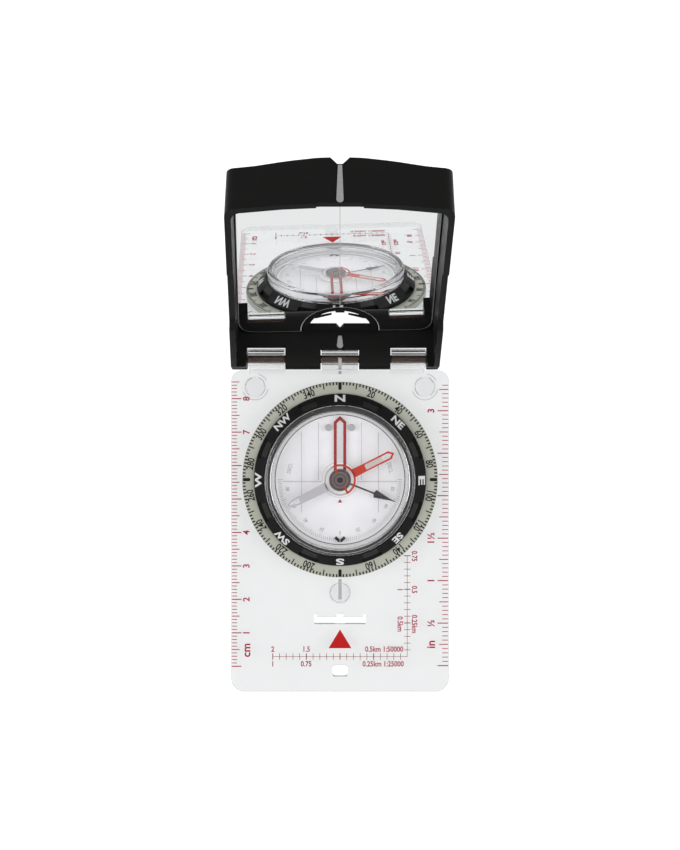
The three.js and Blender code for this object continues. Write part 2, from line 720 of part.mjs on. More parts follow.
function makeClinometerPointer() {
  const { bottom, thickness, bore, hub, length } = CLINOMETER;
  const { start, halfWidth, end } = CLINOMETER_HEAD;
  const shaft = CLINOMETER_SHAFT_HALF;
  const arm = polygon([
    [-shaft, hub - 0.3],
    [shaft, hub - 0.3],
    [shaft, start - 0.4],
    [halfWidth, start],
    [shaft, end],
    [shaft / 2, length],
    [-shaft / 2, length],
    [-shaft, end],
    [-halfWidth, start],
    [-shaft, start - 0.4],
  ]);
  const top = bottom + thickness;
  return join(washer(bore, hub, bottom, top, SMALL_ROUND), raise(arm, bottom, top));
}

// Materials and assembly -------------------------------------------------------------------

function material(color, roughness, metalness = 0, opacity = 1) {
  return new THREE.MeshStandardMaterial({ color, roughness, metalness, opacity, transparent: opacity < 1 });
}

const CLEAR = material(0xe8ecee, 0.08, 0, 0.3);
const CLEAR_RUBBER = material(0xdfe3e6, 0.4, 0, 0.5);
const BLACK = material(0x1b1b1b, 0.35);
const BLACK_SATIN = material(0x202020, 0.5);
const LUMINOUS = material(0xc8cdb9, 0.6);
const MARKING = material(0xc4c6c8, 0.55);
const SILVER = material(0xdfe4e8, 0.03, 1);
const STEEL = material(0xb7b4ae, 0.25, 1);
const BRASS = material(0xb8964a, 0.35, 1);
const MAGNET_GREY = material(0x4a4446, 0.4, 0.6);
const RUBY = material(0x9c1f3b, 0.1);
const NEEDLE_RED = material(0xd2401e, 0.45);
const NEEDLE_WHITE = material(0xd2d2d4, 0.5);

function addPiece(parent, name, geometry, look) {
  const mesh = new THREE.Mesh(geometry, look.clone());
  mesh.name = name;
  parent.add(mesh);
  return mesh;
}

function addBase(parent) {
  addPiece(parent, 'baseplate', makeBaseplate(), CLEAR);
  const pin = rodX(PIN_RADIUS, ...PIN_ENDS);
  addPiece(parent, 'hinge_pin', pin, STEEL).position.set(0, HINGE_Y, HINGE_Z);
  for (const [side, [x, y]] of Object.entries(FEET)) {
    addPiece(parent, `foot_${side}`, makeFoot(), CLEAR_RUBBER).position.set(x, y, -FOOT_STANDS_PROUD);
  }
  addPiece(parent, 'index_line_front', frontIndexSolid(0), MARKING);
  addPiece(parent, 'index_line_rear', rearIndexSolid(0), MARKING);
}

function addLid(parent) {
  const lid = new THREE.Group();
  lid.position.set(0, HINGE_Y, HINGE_Z);
  lid.rotation.x = LID_ANGLE;
  parent.add(lid);
  addPiece(lid, 'lid_shell', makeLidShell(), BLACK);
  addPiece(lid, 'mirror', makeMirror(), SILVER);
  addPiece(lid, 'sight_stripe_upper', upperStripeSolid(0), MARKING);
  addPiece(lid, 'sight_stripe_lower', lowerStripeSolid(0), MARKING);
}

function addBezel(parent) {
  addPiece(parent, 'azimuth_ring', makeAzimuthRing(), LUMINOUS);
  addPiece(parent, 'bezel_ring', makeBezelRing(), BLACK_SATIN);
  addPiece(parent, 'retaining_ring', makeRetainingRing(), CLEAR);
  addPiece(parent, 'capsule_housing', makeCapsuleHousing(), CLEAR);
  addPiece(parent, 'capsule_cover', makeCapsuleCover(), CLEAR);
  const { radius, hole, bottom, top } = DIAL_DISC;
  addPiece(parent, 'dial_disc', washer(hole, radius, bottom, top), CLEAR);
  addPiece(parent, 'pivot_post', makePivotPost(), STEEL);
  const plug = disc(FILL_PLUG.radius, 0, FILL_PLUG.height - GAP, SMALL_ROUND);
  addPiece(parent, 'fill_plug', plug, CLEAR_RUBBER).position.set(FILL_PLUG.x, FILL_PLUG.y, 0);
}

function addDeclination(parent) {
  addPiece(parent, 'declination_plate', makeArrowPlate(), CLEAR);
  const { x, y, radius, height } = LUMINOUS_DOT;
  const dotBottom = ARROW_PLATE.top + 0.05;
  for (const [side, sign] of [['left', -1], ['right', 1]]) {
    const dot = disc(radius, dotBottom, dotBottom + height, SMALL_ROUND);
    addPiece(parent, `luminous_dot_${side}`, dot, MARKING).position.set(sign * x, y, 0);
  }
  const screw = addPiece(parent, 'declination_screw', makeDeclinationScrew(), BRASS);
  screw.position.set(0, -gearCentreDistance(), 0);
}

function addNeedle(parent) {
  const needle = new THREE.Group();
  needle.rotation.z = -NEEDLE_AZIMUTH * DEGREE;
  parent.add(needle);
  addPiece(needle, 'needle_north', needleHalf(NEEDLE_NORTH_LENGTH, 1.8), NEEDLE_RED);
  addPiece(needle, 'needle_south', needleHalf(NEEDLE_SOUTH_LENGTH, 1.8), NEEDLE_WHITE).rotation.z = Math.PI;
  addPiece(needle, 'needle_magnet', makeMagnet(), MAGNET_GREY);
  addPiece(needle, 'needle_jewel', makeJewel(), RUBY);
}

function addClinometer(parent) {
  const pointer = addPiece(parent, 'clinometer_pointer', makeClinometerPointer(), BLACK_SATIN);
  pointer.rotation.z = -CLINOMETER_AZIMUTH * DEGREE;
}

const compass = new THREE.Group();
addBase(compass);
addLid(compass);
addBezel(compass);
addDeclination(compass);
addNeedle(compass);
addClinometer(compass);

export default compass;
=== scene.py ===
import json
import math

import bmesh
import bpy
from mathutils import Matrix, Vector


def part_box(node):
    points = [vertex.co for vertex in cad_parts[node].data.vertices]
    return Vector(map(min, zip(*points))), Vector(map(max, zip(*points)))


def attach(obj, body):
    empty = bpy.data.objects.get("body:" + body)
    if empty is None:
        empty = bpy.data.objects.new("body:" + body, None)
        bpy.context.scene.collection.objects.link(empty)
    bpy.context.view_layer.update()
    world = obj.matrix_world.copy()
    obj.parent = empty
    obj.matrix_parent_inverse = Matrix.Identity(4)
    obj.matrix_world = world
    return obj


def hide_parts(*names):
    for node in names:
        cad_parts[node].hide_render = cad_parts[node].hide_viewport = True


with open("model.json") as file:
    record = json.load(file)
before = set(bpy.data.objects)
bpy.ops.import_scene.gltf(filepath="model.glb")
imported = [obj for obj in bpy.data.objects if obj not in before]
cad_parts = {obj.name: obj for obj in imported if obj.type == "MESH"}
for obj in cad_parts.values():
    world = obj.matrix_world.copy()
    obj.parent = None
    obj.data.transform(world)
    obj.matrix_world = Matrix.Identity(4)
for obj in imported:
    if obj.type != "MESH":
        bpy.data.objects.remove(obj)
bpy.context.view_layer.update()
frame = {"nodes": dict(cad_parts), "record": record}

MM = 0.001
SCENE = bpy.context.scene

# Places, all in millimetres, read from the frame ---------------------------------------------


def low(node):
    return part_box(node)[0] / MM


def high(node):
    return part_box(node)[1] / MM


JOINTS = {joint["name"]: joint for joint in frame["record"]["behaviour"]["joints"]}
HINGE = Vector(JOINTS["lid_hinge"]["pos_m"]) / MM
LID_ANGLE = math.radians(JOINTS["lid_hinge"]["range_deg"][1])
LID = Matrix.Translation(HINGE) @ Matrix.Rotation(LID_ANGLE, 4, "X")
UPRIGHT = Matrix.Identity(4)

PLATE_TOP = 3.0
PLATE_HALF_WIDTH = high("baseplate").x
RING_TOP = high("azimuth_ring").z
RING_OUTER = high("azimuth_ring").x
DIAL_TOP = high("declination_plate").z
NEEDLE_BOTTOM = low("needle_north").z
NEEDLE_TOP = high("needle_north").z
NEEDLE_AZIMUTH = 63.4
MAGNET_TOP = high("needle_magnet").z
INK = 0.03  # thickness of printed marks
INK_LIFT = 0.01  # printed marks start this far above their surface

# Mesh helpers --------------------------------------------------------------------------------


def finish_mesh(name, bm, matrix, smooth_angle=35):
    """Turns a bmesh in millimetres into a named object in metres."""
    bmesh.ops.transform(bm, matrix=Matrix.Scale(MM, 4) @ matrix, verts=bm.verts)
    bmesh.ops.recalc_face_normals(bm, faces=bm.faces)
    mesh = bpy.data.meshes.new(name)
    bm.to_mesh(mesh)
    bm.free()
    piece = bpy.data.objects.new(name, mesh)
    SCENE.collection.objects.link(piece)
    mesh.shade_smooth()
    mesh.set_sharp_from_angle(angle=math.radians(smooth_angle))
    return piece


def dress(piece, material, body, replaced=()):
    piece.data.materials.clear()
    piece.data.materials.append(material)
    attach(piece, body)
    if replaced:
        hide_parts(*replaced)
    return piece


def add_bevel(piece, width, segments=2, angle=32):
    """Rounds a piece's sharp edges in its mesh, as a moulding's edges are."""
    bevel = piece.modifiers.new("edges", "BEVEL")
    bevel.width = width * MM
    bevel.segments = segments
    bevel.limit_method = "ANGLE"
    bevel.angle_limit = math.radians(angle)
    bevel.harden_normals = True
    normals = piece.modifiers.new("normals", "WEIGHTED_NORMAL")
    normals.keep_sharp = True


def refined(node, width, segments=2, smooth_angle=35):
    """A copy of a CAD node with flat faces merged and its edges rounded."""
    bm = bmesh.new()
    bm.from_mesh(frame["nodes"][node].data)
    bmesh.ops.remove_doubles(bm, verts=bm.verts, dist=0.002 * MM)
    bmesh.ops.dissolve_limit(bm, angle_limit=math.radians(0.6), verts=bm.verts, edges=bm.edges)
    piece = finish_mesh(node + "_fine", bm, Matrix.Scale(1 / MM, 4), smooth_angle)
    if width:
        add_bevel(piece, width, segments)
    return piece


def prism(bm, outline, z0, z1, matrix=UPRIGHT):
    """Adds a flat outline, given as (x, y) points anticlockwise, as a closed slab."""
    lower = [bm.verts.new(matrix @ Vector((x, y, z0))) for x, y in outline]
    upper = [bm.verts.new(matrix @ Vector((x, y, z1))) for x, y in outline]
    bm.faces.new(list(reversed(lower)))
    bm.faces.new(upper)
    count = len(outline)
    for i in range(count):
        j = (i + 1) % count
        bm.faces.new((lower[i], lower[j], upper[j], upper[i]))


def bar(bm, x0, y0, x1, y1, z0, z1, matrix=UPRIGHT):
    prism(bm, [(x0, y0), (x1, y0), (x1, y1), (x0, y1)], z0, z1, matrix)


def lathe(bm, profile, segments=128, matrix=UPRIGHT):
    """Turns a closed profile of (radius, z) points about Z. Points on the axis become poles."""
    rings = []
    for radius, z in profile:
        if radius < 1e-6:
            rings.append([bm.verts.new(matrix @ Vector((0, 0, z)))])
            continue
        ring = []
        for i in range(segments):
            angle = 2 * math.pi * i / segments
            place = Vector((radius * math.cos(angle), radius * math.sin(angle), z))
            ring.append(bm.verts.new(matrix @ place))
        rings.append(ring)
    count = len(rings)
    for i in range(count):
        first, second = rings[i], rings[(i + 1) % count]
        if len(first) == 1 and len(second) == 1:
            continue
        for k in range(segments):
            corners = [first[k % len(first)], first[(k + 1) % len(first)]]
            corners += [second[(k + 1) % len(second)], second[k % len(second)]]
            bm.faces.new(list(dict.fromkeys(corners)))


def arc_points(radius, start_deg, end_deg, steps, centre=(0, 0)):
    points = []
    for i in range(steps + 1):
        angle = math.radians(start_deg + (end_deg - start_deg) * i / steps)
        points.append((centre[0] + radius * math.cos(angle), centre[1] + radius * math.sin(angle)))
    return points


def add_text(bm, words, cap_height, matrix, stretch=1.0, weight=0.0, spacing=1.0):
    """Adds lettering centred on the matrix's origin, its letters' tops towards local +Y."""
    curve = bpy.data.curves.new("lettering", "FONT")
    curve.body = words
    curve.size = cap_height / 0.72
    curve.align_x = "CENTER"
    curve.align_y = "CENTER"
    curve.extrude = INK / 2
    curve.offset = weight
    curve.space_character = spacing
    curve.resolution_u = 3
    holder = bpy.data.objects.new("lettering", curve)
    SCENE.collection.objects.link(holder)
    bpy.context.view_layer.update()
    evaluated = holder.evaluated_get(bpy.context.evaluated_depsgraph_get())
    mesh = bpy.data.meshes.new_from_object(evaluated)
    place = matrix @ Matrix.Diagonal((stretch, 1, 1, 1)) @ Matrix.Translation((0, 0, INK / 2 + INK_LIFT))
    mesh.transform(place)
    bm.from_mesh(mesh)
    bpy.data.objects.remove(holder)
    bpy.data.meshes.remove(mesh)
    bpy.data.curves.remove(curve)


def on_ring(azimuth, radius, z, slope=0.0):
    """A frame on a ring: +Y points outwards, +X clockwise; slope tips the outside down."""
    turn = Matrix.Rotation(math.radians(-azimuth), 4, "Z")
    return turn @ Matrix.Translation((0, radius, z)) @ Matrix.Rotation(-math.radians(slope), 4, "X")


def at(x, y, z, turn=0.0):
    return Matrix.Translation((x, y, z)) @ Matrix.Rotation(math.radians(turn), 4, "Z")


# Materials -----------------------------------------------------------------------------------


def new_material(name):
    material = bpy.data.materials.new(name)
    material.use_nodes = True
    tree = material.node_tree
    return material, tree, tree.nodes["Principled BSDF"]


def noise(tree, scale, detail=4.0, roughness=0.55):
    """Three-dimensional noise in the piece's own coordinates, scale in waves per metre."""
    place = tree.nodes.new("ShaderNodeTexCoord")
    texture = tree.nodes.new("ShaderNodeTexNoise")
    texture.inputs["Scale"].default_value = scale
    texture.inputs["Detail"].default_value = detail
    texture.inputs["Roughness"].default_value = roughness
    tree.links.new(place.outputs["Object"], texture.inputs["Vector"])
    return texture.outputs["Fac"]


def ramp(tree, source, low_value, high_value, socket):
    """Spreads a noise between two values or colours and plugs it into a shader socket."""
    node = tree.nodes.new("ShaderNodeValToRGB")
    node.color_ramp.elements[0].position = 0.3
    node.color_ramp.elements[1].position = 0.7
    for element, value in zip(node.color_ramp.elements, (low_value, high_value)):
        element.color = (*value, 1) if isinstance(value, tuple) else (value, value, value, 1)
    tree.links.new(source, node.inputs["Fac"])
    tree.links.new(node.outputs["Color"], socket)


def bump(tree, shader, source, distance, strength=1.0):
    node = tree.nodes.new("ShaderNodeBump")
    node.inputs["Distance"].default_value = distance
    node.inputs["Strength"].default_value = strength
    tree.links.new(source, node.inputs["Height"])
    tree.links.new(node.outputs["Normal"], shader.inputs["Normal"])


def shade(colour, factor):
    return tuple(min(1.0, c * factor) for c in colour)


def plastic(name, colour, roughness, grain=9000.0, grain_depth=2e-6, specular=0.5, spread=0.12):
    """Moulded plastic: slight colour and gloss variation and a fine moulded grain."""
    material, tree, shader = new_material(name)
    broad = noise(tree, 120.0, 3.0)
    ramp(tree, broad, shade(colour, 1 - spread), shade(colour, 1 + spread), shader.inputs["Base Color"])
    ramp(tree, noise(tree, 400.0), roughness * 0.85, roughness * 1.15, shader.inputs["Roughness"])
    shader.inputs["Specular IOR Level"].default_value = specular
    bump(tree, shader, noise(tree, grain, 2.0), grain_depth)
    return material


def ink(name, colour, roughness=0.55):
    """Printed or painted marking, with slightly uneven cover."""
    material, tree, shader = new_material(name)
    shader.inputs["Specular IOR Level"].default_value = 0.12
    ramp(tree, noise(tree, 2500.0, 5.0), shade(colour, 0.9), shade(colour, 1.08), shader.inputs["Base Color"])
    ramp(tree, noise(tree, 900.0), roughness * 0.9, roughness * 1.1, shader.inputs["Roughness"])
    return material


def clear(name, tint, roughness=0.02, ior=1.49):
    """Clear plastic or liquid with faint flow lines, which lets scattered and lamp light straight through."""
    material, tree, shader = new_material(name)
    ramp(tree, noise(tree, 150.0, 3.0), shade(tint, 0.985), shade(tint, 1.0), shader.inputs["Base Color"])
    shader.inputs["Roughness"].default_value = roughness
    shader.inputs["IOR"].default_value = ior
    shader.inputs["Transmission Weight"].default_value = 1.0
    bump(tree, shader, noise(tree, 60.0, 1.0), 4e-7)
    open_air = tree.nodes.new("ShaderNodeBsdfTransparent")
    open_air.inputs["Color"].default_value = (*shade(tint, 0.98), 1)
    path = tree.nodes.new("ShaderNodeLightPath")
    either = tree.nodes.new("ShaderNodeMath")
    either.operation = "MAXIMUM"
    tree.links.new(path.outputs["Is Shadow Ray"], either.inputs[0])
    tree.links.new(path.outputs["Is Diffuse Ray"], either.inputs[1])
    mix = tree.nodes.new("ShaderNodeMixShader")
    tree.links.new(either.outputs["Value"], mix.inputs["Fac"])
    tree.links.new(shader.outputs["BSDF"], mix.inputs[1])
    tree.links.new(open_air.outputs["BSDF"], mix.inputs[2])
    tree.links.new(mix.outputs["Shader"], tree.nodes["Material Output"].inputs["Surface"])
    return material


def translucent(name, colour, glow, rim_glow):
    """White print with painted light: an emission glow stands in for light coming through from below, and a
    stronger glow towards its rim paints out the shade there.
    """
    material, tree, shader = new_material(name)
    ramp(tree, noise(tree, 300.0), shade(colour, 0.985), colour, shader.inputs["Base Color"])
    place = tree.nodes.new("ShaderNodeTexCoord")
    radius = tree.nodes.new("ShaderNodeVectorMath")
    radius.operation = "LENGTH"
    # Painted glow rising towards the rim, where the capsule walls and bezel shade the dial.
    outwards = tree.nodes.new("ShaderNodeMapRange")
    outwards.inputs["From Min"].default_value = 13.0 * MM
    outwards.inputs["From Max"].default_value = 20.0 * MM
    outwards.inputs["To Min"].default_value = glow
    outwards.inputs["To Max"].default_value = rim_glow
    tree.links.new(place.outputs["Object"], radius.inputs[0])
    tree.links.new(radius.outputs["Value"], outwards.inputs["Value"])
    tree.links.new(outwards.outputs["Result"], shader.inputs["Emission Color"])
    shader.inputs["Emission Strength"].default_value = 1.0
    shader.inputs["Specular IOR Level"].default_value = 0.1
    return material


def immersed(name, tint):
    """Clear sheet in liquid of nearly its own index: it only tints what is behind it."""
    material, tree, shader = new_material(name)
    open_air = tree.nodes.new("ShaderNodeBsdfTransparent")
    ramp(tree, noise(tree, 150.0, 3.0), shade(tint, 0.99), tint, open_air.inputs["Color"])
    tree.links.new(open_air.outputs["BSDF"], tree.nodes["Material Output"].inputs["Surface"])
    tree.nodes.remove(shader)
    return material


def metal(name, colour, roughness, scratch=3000.0):
    """Bare metal with fine turning marks."""
    material, tree, shader = new_material(name)
    marks = noise(tree, scratch, 4.0)
    ramp(tree, marks, shade(colour, 0.85), shade(colour, 1.1), shader.inputs["Base Color"])
    ramp(tree, marks, roughness * 0.7, roughness * 1.3, shader.inputs["Roughness"])
    shader.inputs["Metallic"].default_value = 1.0
    bump(tree, shader, marks, 1e-6)
    return material


def light_table(name, colour, glow, bare_glow):
    """Matt white sheet lit from below, brighter where nothing lies on it."""
    material, tree, shader = new_material(name)
    ramp(tree, noise(tree, 6.0), shade(colour, 0.98), shade(colour, 1.02), shader.inputs["Base Color"])
    ramp(tree, noise(tree, 5.0), 0.99, 1.0, shader.inputs["Emission Color"])
    path = tree.nodes.new("ShaderNodeLightPath")
    strength = tree.nodes.new("ShaderNodeMapRange")
    strength.inputs["To Min"].default_value = glow
    strength.inputs["To Max"].default_value = bare_glow
    tree.links.new(path.outputs["Is Camera Ray"], strength.inputs["Value"])
    tree.links.new(strength.outputs["Result"], shader.inputs["Emission Strength"])
    shader.inputs["Roughness"].default_value = 0.9
    shader.inputs["Specular IOR Level"].default_value = 0.1
    return material


def mirror_material(name):
    """Silvered mirror with the faintest haze."""
    material, tree, shader = new_material(name)
    ramp(tree, noise(tree, 80.0), (0.825, 0.84, 0.845), (0.84, 0.85, 0.855), shader.inputs["Base Color"])
    shader.inputs["Metallic"].default_value = 1.0
    shader.inputs["Roughness"].default_value = 0.0
    return material


LOOKS = {
    "clear": clear("clear_acrylic", (0.978, 0.985, 0.988)),
    # The dial's white print glows though no lamp lights it: painted light, stronger towards the rim.
    "dial": translucent("dial_white", (0.86, 0.865, 0.87), 0.25, 0.37),
    "capsule": clear("clear_capsule", (0.975, 0.97, 0.975)),
    "liquid": clear("damping_liquid", (0.99, 0.99, 0.99), roughness=0.0, ior=1.40),
    "immersed": immersed("clear_in_liquid", (0.99, 0.99, 0.995)),
    "rubber": clear("clear_rubber", (0.97, 0.975, 0.98), roughness=0.05, ior=1.42),
    "lid": plastic("lid_black", (0.0105, 0.0105, 0.0102), 0.33, grain_depth=4e-7, specular=0.05, spread=0.04),
    "bezel": plastic(
        "bezel_black", (0.010, 0.010, 0.0098), 0.38, grain_depth=4e-7, specular=0.08, spread=0.04
    ),
    # Lighter grey for the grip notches' upward-sloping faces: painted sheen, on top of their real higher
    # gloss.
    "grip": plastic("grip_painted_sheen", (0.019, 0.019, 0.018), 0.40, grain_depth=4e-7, specular=0.2, spread=0.04),
    "luminous": plastic("luminous_olive", (0.41, 0.418, 0.354), 0.5, grain=5000.0, spread=0.03),
    "marking": ink("pale_marking", (0.42, 0.40, 0.40)),
    "stripe": ink("stripe_grey", (0.33, 0.33, 0.33)),
    "red": ink("print_red", (0.36, 0.015, 0.045)),
    "arrow_red": ink("arrow_red", (0.46, 0.010, 0.012)),
    "orient_red": ink("orienting_red", (0.38, 0.025, 0.025)),
    "black_ink": ink("print_black", (0.012, 0.012, 0.012)),
    "scale_red": ink("print_dark_red", (0.24, 0.035, 0.04)),
    "dark_ink": ink("print_dark_brown", (0.055, 0.045, 0.045)),
    "grey_ink": ink("print_grey", (0.42, 0.41, 0.42)),
    "pale_ink": ink("print_pale_grey", (0.52, 0.51, 0.52)),
    "letter": ink("bezel_letters", (0.66, 0.67, 0.67)),
    "mirror": mirror_material("mirror_silver"),
    "pin": metal("pin_bronzed", (0.055, 0.028, 0.020), 0.5),
    "glass_edge": plastic("mirror_edge", (0.62, 0.64, 0.65), 0.25, grain_depth=4e-7, spread=0.03),
    "steel": metal("pivot_steel", (0.62, 0.60, 0.57), 0.22),
    "brass": metal("screw_brass", (0.72, 0.52, 0.22), 0.3),
    "magnet": metal("magnet_dark", (0.19, 0.15, 0.145), 0.4),
    "jewel": plastic("jewel_red", (0.025, 0.004, 0.008), 0.1, grain_depth=2e-7),
    "needle_red": ink("needle_orange", (0.60, 0.036, 0.008)),
    "needle_white": ink("needle_white", (0.55, 0.54, 0.56)),
    "needle_glow": ink("needle_luminous", (0.66, 0.60, 0.56)),
    "pointer": plastic("pointer_black", (0.008, 0.008, 0.008), 0.4),
}

# Base plate ----------------------------------------------------------------------------------

RULER_CM_ZERO = -55.9
RULER_INCH_ZERO = -55.7
RULER_LABEL_X = 27.9
INCH = 25.4


def build_baseplate():
    plate = dress(refined("baseplate", 0.22, 3), LOOKS["clear"], "base", ["baseplate"])
    for side in ("left", "right", "rear"):
        node = "foot_" + side
        dress(refined(node, 0.2, 3), LOOKS["rubber"], "base", [node])
    for node in ("index_line_front", "index_line_rear"):
        dress(refined(node, 0.05, 1), LOOKS["marking"], "base", [node])
    dress(refined("hinge_pin", 0.25, 3), LOOKS["pin"], "base", ["hinge_pin"])
    bm = bmesh.new()
    bar(bm, -0.45, 31.5, 0.45, 32.55, PLATE_TOP + INK_LIFT, PLATE_TOP + INK_LIFT + INK)
    dress(finish_mesh("print_front_index", bm, UPRIGHT), LOOKS["marking"], "base")
    # Thin grey arcs under the plate round the clear feet: painted edge shadow, only on the spans where the
    # feet's edges show dark.
    bm = bmesh.new()
    for side in ("left", "right", "rear"):
        middle = (low("foot_" + side) + high("foot_" + side)) / 2
        reaches = [(2.95, 110, 235), (2.95, -60, 70)]
        if side != "rear":
            reaches += [(3.9, 200, 350), (3.9, 30, 80)]
        for radius, start, end in reaches:
            band = arc_points(radius + 0.09, start, end, 24, middle)
            band += reversed(arc_points(radius - 0.09, start, end, 24, middle))
            prism(bm, band, -0.04, -0.01)
    dress(finish_mesh("foot_painted_edge_shade", bm, UPRIGHT), LOOKS["pale_ink"], "base")


def ruler_ticks(bm, edge, inward, zero, step, count, lengths):
    """Ticks from an edge inwards: tenths, fifths and others have their own lengths."""
    for i in range(count + 1):
        y = zero + i * step
        rank = 0 if i % 10 == 0 else 1 if i % 5 == 0 else 2
        half_width = (0.15, 0.13, 0.11)[rank]
        x0, x1 = sorted((edge, edge + inward * lengths[rank]))
        bar(bm, x0, y - half_width, x1, y + half_width, PLATE_TOP + INK_LIFT, PLATE_TOP + INK_LIFT + INK)


def build_rulers():
    bm = bmesh.new()
    edge = PLATE_HALF_WIDTH - 0.25
    ruler_ticks(bm, -edge, 1, RULER_CM_ZERO, 1.0, 85, (2.9, 2.3, 1.6))
    ruler_ticks(bm, edge, -1, RULER_INCH_ZERO, INCH / 20, 66, (3.2, 2.7, 1.8))
    for number in (1, 2, 3, 4, 7, 8):
        place = at(-RULER_LABEL_X, RULER_CM_ZERO + 10 * number, PLATE_TOP, 90)
        add_text(bm, str(number), 1.95, place, weight=0.06)
    add_text(bm, "cm", 2.5, at(-RULER_LABEL_X, RULER_CM_ZERO + 4.8, PLATE_TOP, 90), weight=0.08)
    for label, inches in (("½", 0.5), ("1", 1), ("1½", 1.5), ("3", 3)):
        place = at(RULER_LABEL_X - 0.6, RULER_INCH_ZERO + INCH * inches, PLATE_TOP, 90)
        add_text(bm, label, 2.0, place, weight=0.07)
    add_text(bm, "in", 2.5, at(RULER_LABEL_X - 0.6, RULER_INCH_ZERO + INCH / 4, PLATE_TOP, 90), weight=0.08)
    dress(finish_mesh("print_rulers", bm, UPRIGHT), LOOKS["red"], "base")


SCALE_HALF = 20.1
SCALE_Y = -53.0
SCALE_STEP = 2.01


def build_map_scales():
    bm = bmesh.new()
    z0, z1 = PLATE_TOP + INK_LIFT, PLATE_TOP + INK_LIFT + INK
    bar(bm, -SCALE_HALF, SCALE_Y - 0.07, SCALE_HALF + 0.07, SCALE_Y + 0.07, z0, z1)
    for i in range(20):
        x, half = -SCALE_HALF + i * SCALE_STEP, 0.13 if i % 5 == 0 else 0.08
        bar(bm, x - half, SCALE_Y - 0.97, x + half, SCALE_Y + 0.97, z0, z1)
    bar(bm, SCALE_HALF - 0.07, SCALE_Y, SCALE_HALF + 0.07, SCALE_Y + 15 * SCALE_STEP, z0, z1)
    for i in range(1, 16):
        y, half = SCALE_Y + i * SCALE_STEP, 0.13 if i % 5 == 0 else 0.08
        bar(bm, SCALE_HALF - 0.97, y - half, SCALE_HALF + 0.97, y + half, z0, z1)
    dress(finish_mesh("print_map_scale_lines", bm, UPRIGHT), LOOKS["scale_red"], "base")
    bm = bmesh.new()
    above, below = 2.15, -2.25
    labels = (
        ("2", -SCALE_HALF, above), ("1.5", -SCALE_HALF + 10, above), ("0.5km 1:50000", 13.2, above),
        ("1", -SCALE_HALF, below), ("0.75", -SCALE_HALF + 10, below), ("0.25km 1:25000", 12.9, below),
    )
    for words, x, y in labels:
        add_text(bm, words, 1.6, at(x, SCALE_Y + y, PLATE_TOP), stretch=0.86, weight=0.05)
    outer, inner = SCALE_HALF + 2.1, SCALE_HALF - 2.2
    labels = (
        ("0.25km", outer, 9.7), ("0.5", outer, 20), ("0.75", outer, 30),
        ("0.5km", inner, 9.7), ("1", inner, 20),
    )
    for words, x, y in labels:
        add_text(bm, words, 1.6, at(x, SCALE_Y + y, PLATE_TOP, -90), stretch=0.84, weight=0.05)
    dress(finish_mesh("print_map_scale_labels", bm, UPRIGHT), LOOKS["red"], "base")


def build_direction_arrow():
    bm = bmesh.new()
    apex, base = -44.85, -50.5
    prism(bm, [(-3.42, base), (3.42, base), (0, apex)], PLATE_TOP + INK_LIFT, PLATE_TOP + INK_LIFT + INK)
    dress(finish_mesh("print_direction_arrow", bm, UPRIGHT), LOOKS["arrow_red"], "base")


# Lid -----------------------------------------------------------------------------------------


MIRROR_FACE = -6.9  # in the lid's own frame, from the hinge axis
SIGHT_LINE = (17.0, 75.0)


MIRROR_LEAN = 0.018  # rise of the glued mirror's face towards the left, per millimetre


def lean_mirror(mirror):
    """Tips the mirror's face a little to the side, as it was glued."""
    to_lid = LID.inverted()
    for vertex in mirror.data.vertices:
        place = to_lid @ (vertex.co / MM)
        if place.z > MIRROR_FACE - 0.5:
            place.z -= MIRROR_LEAN * place.x
            vertex.co = (LID @ place) * MM


def build_sight_teeth():
    """Small teeth round the upper edge of the sight hole, two of them long fingers."""
    bm = bmesh.new()
    z0, z1 = -7.75, -7.45
    prism(bm, [(-1.35, 14.8), (-1.3, 13.2), (1.3, 13.2), (1.35, 14.8)], z0, z1)
    for side in (-1, 1):
        finger = [(7.7, 11.0), (7.1, 10.2), (2.4, 12.1), (2.4, 12.75), (7.2, 11.2)]
        prism(bm, [(side * x, y) for x, y in finger], z0, z1)
    dress(finish_mesh("sight_hole_teeth", bm, LID), LOOKS["lid"], "lid")


def build_lid():
    shell = refined("lid_shell", 0.28, 3)
    dress(shell, LOOKS["lid"], "lid", ["lid_shell"])
    mirror = refined("mirror", 0.35, 3)
    lean_mirror(mirror)
    dress(mirror, LOOKS["mirror"], "lid", ["mirror"])
    mirror.data.materials.append(LOOKS["glass_edge"])
    mirror.modifiers["edges"].material = 1
    facing = LID.to_3x3().col[2]
    for face in mirror.data.polygons:
        face.material_index = int(abs(face.normal.dot(facing)) < 0.5)
    build_sight_teeth()
    for node in ("sight_stripe_upper", "sight_stripe_lower"):
        dress(refined(node, 0.1, 2), LOOKS["stripe"], "lid", [node])
    bm = bmesh.new()
    face = MIRROR_FACE + 0.02
    bar(bm, -0.07, SIGHT_LINE[0], 0.07, SIGHT_LINE[1], face, face + INK)
    line = finish_mesh("mirror_sight_line", bm, LID)
    dress(line, LOOKS["grey_ink"], "lid")


# Bezel ---------------------------------------------------------------------------------------

LETTERS = ("N", "NE", "E", "SE", "S", "SW", "W", "NW")
LETTER_STRETCH = (1.25, 0.95, 1.6, 0.95, 1.5, 0.9, 1.1, 0.9)
GRIP_HALF_ANGLE = 7.3


